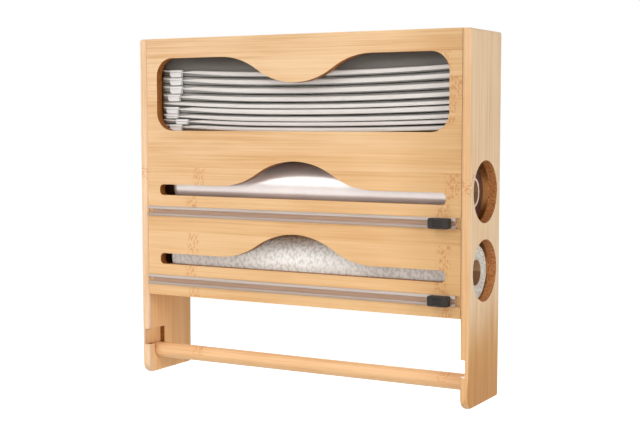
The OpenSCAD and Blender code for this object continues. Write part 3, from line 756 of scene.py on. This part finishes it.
def paper_relief(x, angle):
    """Depth of the embossing under the tops of its pillows: deepest where several of them meet."""
    row = x / EMBOSS_PITCH
    turn = angle / (2 * math.pi) * EMBOSS_ROUND
    height = 0.0
    for line in range(math.floor(row) - 1, math.floor(row) + 2):
        place = turn - 0.5 * (line % 2)
        for cell in range(math.floor(place) - 1, math.floor(place) + 2):
            shift_x, shift_turn, lower = emboss_table[line % EMBOSS_ROWS][cell % EMBOSS_ROUND]
            away_x = row - line - 0.5 - EMBOSS_JITTER * (shift_x - 0.5)
            away_turn = place - cell - 0.5 - EMBOSS_JITTER * (shift_turn - 0.5)
            away = (away_x ** 2 + away_turn ** 2) / (2 * EMBOSS_SOFT ** 2)
            height += (1 - EMBOSS_UNEVEN * lower) * math.exp(-away)
    return EMBOSS_DEPTH * max(0.0, 1 - height)


paper_axis = (paper_low + paper_high) / 2


def paper_dip(point):
    """How deep a point of the paper roll lies under its outer face, in depths of the embossing."""
    return (PAPER_R - math.hypot(point[1] - paper_axis.y, point[2] - paper_axis.z)) / EMBOSS_DEPTH


paper_points, paper_faces = tube(roll_rings("paper_roll", CORE_R, PAPER_STEP, paper_relief, PAPER_AROUND))
paper = new_piece("paper_roll_wound", paper_points, paper_faces, embossed_paper("embossed_paper"),
                  "lower_roll", "embossed_paper", "paper_roll")
# The depth under the outer face drives the painted shade in the dips
mark_points(paper, "dip_shade", [paper_dip(point) for point in paper_points])


# Zip bags: each has a milky strip in front and folded film behind, and all of them sag

bag_low, bag_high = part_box("bag_1")
BAG_FLOOR = bag_low.z
BAG_LEFT, BAG_RIGHT = bag_low.x, bag_high.x
BAG_W = BAG_RIGHT - BAG_LEFT
BAG_BACK = bag_high.y
STRIP_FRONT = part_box("bag_zip_strips")[0].y


def clamp(value):
    """A value kept between 0 and 1."""
    return min(1.0, max(0.0, value))


def off_middle(x):
    """Share of the way from the middle of the bags to their ends."""
    return abs(2 * x / BAG_W)


def sagging(rise, x):
    """Height at x of a sagging level whose middle lies the given height above the shelf."""
    sag = FLOOR_SAG + (TOP_SAG - FLOOR_SAG) * rise / STRIP_RISE[-1]
    return BAG_FLOOR + rise + sag * off_middle(x) ** 2


def bag_height(k, x):
    """Height at x of the level between bags k - 1 and k."""
    if k == 0:
        rise = 1.5 * STRIP_RISE[0] - 0.5 * STRIP_RISE[1]
    elif k == BAG_COUNT:
        rise = 1.5 * STRIP_RISE[-1] - 0.5 * STRIP_RISE[-2]
    else:
        rise = (STRIP_RISE[k - 1] + STRIP_RISE[k]) / 2
    return max(BAG_FLOOR, sagging(rise, x))


# Strips: their length behind the front; the flap at their top, what it loses to the ends, and where it turns
# to a painted shade of the gap above; the tapers to the right of a slider, which begin at a share of the
# height; and a drop that the strips reach over some length left of their middle
STRIP_TAIL = 6 * MM
STRIP_FLAP = 1.2 * MM
FLAP_LOSS = 0.5
FLAP_FADE = 1.4 * MM
FLAP_FADE_SHARE = 0.6
TAPER = 18 * MM
LOWER_TAPER = 60 * MM
TAPER_START = 0.3
STRIP_DROP = 0.5 * MM
DROP_START = -110 * MM
DROP_LENGTH = 55 * MM

# The thin tip of a strip, left of its slider, and the gap between slider and taper
TIP_GAP = 1.0 * MM
TIP_DROP = 0.3 * MM
TIP_SIZE = 1.1 * MM
TIP_GROWTH = 0.8 * MM

# Section of a strip: setback of its lower edge, and as shares of its height the ends of that edge and of
# the straight front, the roll at the top in the middle of the bags and what it loses to their ends; then the
# tail, which lies lower than the top by a share of the roll and rises from below by a share of the height
EDGE_SETBACK = 0.15 * MM
EDGE_SHARE = 0.06
FRONT_SHARE = 0.3
FRONT_LEAST = 0.35
ROLL_SHARE = 0.75
ROLL_LOSS = 0.45
ROLL_STEPS = 6
TAIL_DROP = 0.3
TAIL_SHARE = 0.15

# Counts of sections along a strip, and the least distance of its taper from its left end
TIP_STEPS = 4
TAPER_STEPS = 12
STRIP_STEPS = 44
STRIP_START = 0.5 * MM


def slider_ends(k):
    """Left and right end of the slider on strip k; without one, both are left of the strip's end."""
    middle = BAG_LEFT + SLIDER_INSET[k] * MM
    if not SLIDER_INSET[k]:
        return BAG_LEFT - SLIDER_W, BAG_LEFT - TIP_GAP
    return middle - SLIDER_W / 2, middle + SLIDER_W / 2


def rounded(share):
    """Share of a strip's full height at a share of its taper."""
    return TAPER_START + (1 - TAPER_START) * (1 - (1 - share) ** 2)


def strip_span(k, x):
    """Lower and upper edge of strip k at x: it is thin beside its slider, and its flap stands up to the next
    bag."""
    left, right = slider_ends(k)
    middle = sagging(STRIP_RISE[k], x) - STRIP_DROP * clamp((x - DROP_START) / DROP_LENGTH)
    half = STRIP_SIZE[k] / 2
    if x < left:
        top = middle + half - TIP_DROP
        return top - TIP_SIZE - TIP_GROWTH * (x - BAG_LEFT) / (left - BAG_LEFT), top
    lower = clamp((x - right - TIP_GAP) / LOWER_TAPER)
    upper = clamp((x - right - TIP_GAP) / TAPER)
    flap = STRIP_FLAP * (1 - FLAP_LOSS * off_middle(x))
    return middle - half * rounded(lower), middle + (half + flap) * rounded(upper)


def strip_profile(k, x):
    """Section of a strip: a straight front, a crisp lower edge and a top that rolls back."""
    low, high = strip_span(k, x)
    height = high - low
    roll = (ROLL_SHARE - ROLL_LOSS * off_middle(x)) * height
    tail = STRIP_FRONT + STRIP_D + STRIP_TAIL
    points = [(STRIP_FRONT + EDGE_SETBACK, low), (STRIP_FRONT, low + EDGE_SHARE * height)]
    points.append((STRIP_FRONT, low + FRONT_SHARE * height))
    points.append((STRIP_FRONT, max(low + FRONT_LEAST * height, high - roll)))
    for i in range(1, ROLL_STEPS + 1):
        angle = math.pi / 2 * i / ROLL_STEPS
        points.append((STRIP_FRONT + STRIP_D * (1 - math.cos(angle)), high - roll + roll * math.sin(angle)))
    points.append((tail, high - TAIL_DROP * roll))
    points.append((tail, low + TAIL_SHARE * height))
    points.append((STRIP_FRONT + STRIP_D, low))
    return [(x, y, z) for y, z in points]


def strip_stations(k):
    """Places along strip k, close together near its slider."""
    left, right = slider_ends(k)
    near = [BAG_LEFT]
    if left > BAG_LEFT:
        near = [BAG_LEFT + (left - BAG_LEFT) * i / TIP_STEPS for i in range(TIP_STEPS + 1)]
    start = max(right + TIP_GAP, BAG_LEFT + STRIP_START)
    near += [start + TAPER * i / TAPER_STEPS for i in range(TAPER_STEPS + 1)]
    return near + [near[-1] + (BAG_RIGHT - near[-1]) * i / STRIP_STEPS for i in range(1, STRIP_STEPS + 1)]


def strip_top_shade(k, point):
    """How much painted shade strip k has at a point: none below and at its tip, and full shade at its top."""
    low, high = strip_span(k, point[0])
    if point[0] <= slider_ends(k)[0]:
        return 0.0
    return clamp((point[2] - high) / min(FLAP_FADE, FLAP_FADE_SHARE * (high - low)) + 1)


def zip_strips():
    """Points and faces of all strips, and how much painted shade each point has."""
    points = []
    faces = []
    clear = []
    for k in range(BAG_COUNT):
        strip_points, strip_faces = loft([strip_profile(k, x) for x in strip_stations(k)])
        join(points, faces, strip_points, strip_faces)
        clear += [strip_top_shade(k, point) for point in strip_points]
    return points, faces, clear


# The dark third shade is painted shade of the gap between the bags, on the top of each strip
strip_white = white_plastic("zip_white", rgb(226, 220, 214), rgb(217, 210, 204), rgb(98, 95, 91))
strip_points, strip_faces, strip_top_shades = zip_strips()
strips = new_piece("bag_zip_strips_soft", strip_points, strip_faces, strip_white,
                   "cabinet", "zip_white", "bag_zip_strips")
mark_points(strips, "clear", strip_top_shades)
strips.modifiers.new("shading", "NODES").node_group = SHADING

# Folded film: its front, half its height there, and the depth of the pinched front at the bags' left end,
# middle and right end; the air between the bags and behind them; and the least inset of their ends, to which
# up to a millimetre is added, and by how much the left ends reach out again
FILM_STEPS_X = 60
FILM_FRONT = STRIP_FRONT + STRIP_D + 0.6 * MM
FILM_HALF = 0.8 * MM
PINCH_LEFT = 0.8 * MM
PINCH_MIDDLE = 1.6 * MM
PINCH_RIGHT = 2.4 * MM
PINCH_STEPS = (0.0, 0.15, 0.3, 0.5, 0.75, 1.0)
FILM_AIR = 0.3 * MM
BACK_AIR = 0.5 * MM
END_INSET = 0.3 * MM
FILM_SPREAD = 4.0 * MM

# Waves of the film from left to right, which shift from bag to bag and turn from front to back
FOLD_WAVE = 0.25 * MM
FOLD_LENGTH = 0.017
FOLD_SHIFT = 1.9
FOLD_TURN = 4

# Loose film of the top bag, which leans back as it rises
CREST_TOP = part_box("bag_9")[1].z
CREST_AIR = 1.0 * MM
CREST_LEAN = 5 * MM
CREST_STEPS = (0.1, 0.3, 0.5, 0.7, 0.85, 1.0)
RIPPLE = 0.3 * MM
RIPPLE_LENGTH = 0.023


def pinched_front(k, x, lower, middle, upper):
    """Lower and upper edge of a bag's front, which swells from its pinch to its full height."""
    end_pinch = PINCH_RIGHT if x > 0 else PINCH_LEFT
    pinch = PINCH_MIDDLE + (end_pinch - PINCH_MIDDLE) * off_middle(x) ** 2
    below = []
    above = []
    for t in PINCH_STEPS:
        swell = t * t * (3 - 2 * t)
        wave = FOLD_WAVE * abs(math.sin(x / FOLD_LENGTH + k * FOLD_SHIFT + FOLD_TURN * t))
        y = FILM_FRONT + pinch * t
        below.append((y, middle - FILM_HALF + (lower - middle + FILM_HALF) * swell))
        above.append((y, middle + FILM_HALF + (upper - middle - FILM_HALF) * swell - wave))
    return below, above


def loose_crest(x, start):
    """Upper edge of the top bag, whose loose film rises from the given height."""
    top = CREST_TOP - CREST_AIR - bag_height(BAG_COUNT, BAG_W / 2) + bag_height(BAG_COUNT, x)
    ripple = RIPPLE * math.sin(x / RIPPLE_LENGTH)
    points = [(FILM_FRONT, start)]
    for t in CREST_STEPS:
        points.append((FILM_FRONT + CREST_LEAN * t * t + ripple * t, start + (top - start) * t))
    return points + [(BAG_BACK - CREST_AIR, top)]


def film_section(k, x):
    """Section of a folded bag behind its strip: pinched at the front, full further back."""
    middle = sagging(STRIP_RISE[k], x)
    upper = bag_height(k + 1, x) - FILM_AIR
    lower = bag_height(k, x) + (FILM_AIR if k else 0.0)
    below, above = pinched_front(k, x, lower, middle, upper)
    if k == BAG_COUNT - 1:
        above = loose_crest(x, middle + FILM_HALF)
    else:
        above.append((BAG_BACK - BACK_AIR, upper))
    points = above + [(BAG_BACK - BACK_AIR, lower)] + below[::-1]
    return [(x, y, z) for y, z in points]


def folded_bag(k):
    """Points and faces of the folded film of bag k."""
    inset = END_INSET + random.Random(SEED + k).random() * MM
    start = BAG_LEFT + inset - FILM_SPREAD
    length = BAG_RIGHT - inset - start
    return loft([film_section(k, start + length * i / FILM_STEPS_X) for i in range(FILM_STEPS_X + 1)])


film_grey = bag_film("bag_film", sagging(STRIP_RISE[-1], 0.0))
for k in range(BAG_COUNT):
    bag_points, bag_faces = folded_bag(k)
    new_piece(f"bag_{k + 1}_folded", bag_points, bag_faces, film_grey, "cabinet", "bag_film", f"bag_{k + 1}")

# Sliders: how far they stand out of the strips, the rail with the groove under it, its top above the strip's
# middle, the air above the slider below, and the slant and insets of the grip
SLIDER_PROUD = 1.3 * MM
RAIL_PROUD = 0.8 * SLIDER_PROUD
SLIDER_BEVEL = 0.35 * MM
BEVEL_SEGMENTS = 2
SLIDER_RAIL = 2.4 * MM
SLIDER_GROOVE = 0.25 * MM
SLIDER_RISE = 1.8 * MM
SLIDER_AIR = 0.4 * MM
SLIDER_SLANT = 0.45
SLIDER_BACK = STRIP_FRONT + STRIP_D - 0.2 * MM
GRIP_LEFT = 0.4 * MM
GRIP_FOOT = 2.2 * MM
GRIP_RIGHT = 0.8 * MM


def block(outline, front, back):
    """Points and faces of an outline in x and z between two depths."""
    points = [(x, front, z) for x, z in outline] + [(x, back, z) for x, z in outline]
    count = len(outline)
    faces = [tuple(range(count)), tuple(reversed(range(count, 2 * count)))]
    for j in range(count):
        n = (j + 1) % count
        faces.append((n, j, j + count, n + count))
    return points, faces


def slider_blocks(k):
    """The slider on strip k: a rail along the strip, and under it a grip with a slanted lower left corner."""
    left, right = slider_ends(k)
    x = (left + right) / 2
    top = sagging(STRIP_RISE[k], x) + SLIDER_RISE
    below = sagging(STRIP_RISE[k - 1], x) + SLIDER_RISE if k else BAG_FLOOR
    low = max(top - SLIDER_H, below + SLIDER_AIR)
    step = top - SLIDER_RAIL
    slant = low + SLIDER_SLANT * (step - low)
    rail = [(left, step + SLIDER_GROOVE), (right, step + SLIDER_GROOVE), (right, top), (left, top)]
    grip = [(left + GRIP_FOOT, low), (right - GRIP_RIGHT, low), (right - GRIP_RIGHT, step)]
    grip += [(left + GRIP_LEFT, step), (left + GRIP_LEFT, slant)]
    rail_block = block(rail, STRIP_FRONT - RAIL_PROUD, SLIDER_BACK)
    return rail_block, block(grip, STRIP_FRONT - SLIDER_PROUD, SLIDER_BACK)


def zip_sliders():
    """Points and faces of all sliders."""
    points = []
    faces = []
    for k in range(BAG_COUNT):
        if SLIDER_INSET[k]:
            for block_points, block_faces in slider_blocks(k):
                join(points, faces, block_points, block_faces)
    return points, faces


slider_white = white_plastic("slider_white", rgb(232, 228, 225), rgb(223, 218, 215))
slider_points, slider_faces = zip_sliders()
sliders = new_piece("bag_sliders_clip", slider_points, slider_faces, slider_white,
                    "cabinet", "zip_white", "bag_sliders")
for face in sliders.data.polygons:
    face.use_smooth = False
slider_round = sliders.modifiers.new("rounding", "BEVEL")
slider_round.width = SLIDER_BEVEL
slider_round.segments = BEVEL_SEGMENTS


# Stage, light and camera

def seen_ray(tree):
    """1 for rays from the camera, and for those that shiny and clear surfaces send on."""
    path = add(tree, "ShaderNodeLightPath").outputs
    seen = calc(tree, "MAXIMUM", path["Is Camera Ray"], path["Is Transmission Ray"])
    return calc(tree, "MAXIMUM", seen, path["Is Glossy Ray"])


def make_world():
    """Even soft light from all sides, with a white background for rays that are seen."""
    world = bpy.data.worlds.new("studio")
    world.use_nodes = True
    tree = world.node_tree
    tree.nodes.clear()
    lit = add(tree, "ShaderNodeBackground", {"Color": WORLD_SHADE, "Strength": WORLD_STRENGTH})
    white = add(tree, "ShaderNodeBackground", {"Color": PLAIN, "Strength": 1.0})
    shown = add(tree, "ShaderNodeMixShader", {0: seen_ray(tree), 1: lit.outputs[0], 2: white.outputs[0]})
    add(tree, "ShaderNodeOutputWorld", {"Surface": shown.outputs[0]})
    bpy.context.scene.world = world


def make_floor():
    """A plain pale floor under the object, which is white for rays that are seen."""
    z = cad_low.z - FLOOR_DROP
    half = FLOOR_SIZE / 2
    mesh = bpy.data.meshes.new("floor")
    corners = [(-half, -half, z), (half, -half, z), (half, half, z), (-half, half, z)]
    mesh.from_pydata(corners, [], [(0, 1, 2, 3)])
    material, tree, shader = new_material("floor_white")
    cloud = noise(tree, object_place(tree), scale=3.0, detail=2.0)
    feed(tree, shader, {
        "Base Color": mix(tree, spread(tree, cloud), *FLOOR_SHADES),
        "Roughness": 0.9,
        "Emission Color": PLAIN,
        "Emission Strength": calc(tree, "MULTIPLY", seen_ray(tree), FLOOR_GLOW),
    })
    mesh.materials.append(material)
    floor = bpy.data.objects.new("floor", mesh)
    bpy.context.scene.collection.objects.link(floor)


def make_light(name, direction, distance, width, height, power):
    """A soft light that points at the middle of the object."""
    middle = (cad_low + cad_high) / 2
    lamp = bpy.data.lights.new(name, "AREA")
    lamp.shape = "RECTANGLE"
    lamp.size = width
    lamp.size_y = height
    lamp.energy = power
    holder = bpy.data.objects.new(name, lamp)
    holder.location = middle + Vector(direction).normalized() * distance
    holder.rotation_euler = (middle - holder.location).to_track_quat("-Z", "Y").to_euler()
    bpy.context.scene.collection.objects.link(holder)


def make_camera():
    """The camera, at nearly the photograph's viewing angle."""
    camera = bpy.data.cameras.new("camera")
    camera.sensor_fit = "HORIZONTAL"
    camera.sensor_width = CAMERA_SENSOR
    camera.lens = CAMERA_LENS
    holder = bpy.data.objects.new("camera", camera)
    holder.location = CAMERA_PLACE
    holder.rotation_euler = (math.radians(90 - CAMERA_DOWN), 0.0, math.radians(CAMERA_TURN))
    bpy.context.scene.collection.objects.link(holder)
    bpy.context.scene.camera = holder


make_world()
make_floor()
for light_name, settings in LIGHTS.items():
    make_light(light_name, *settings)
make_camera()
bpy.context.scene.view_settings.view_transform = "Standard"
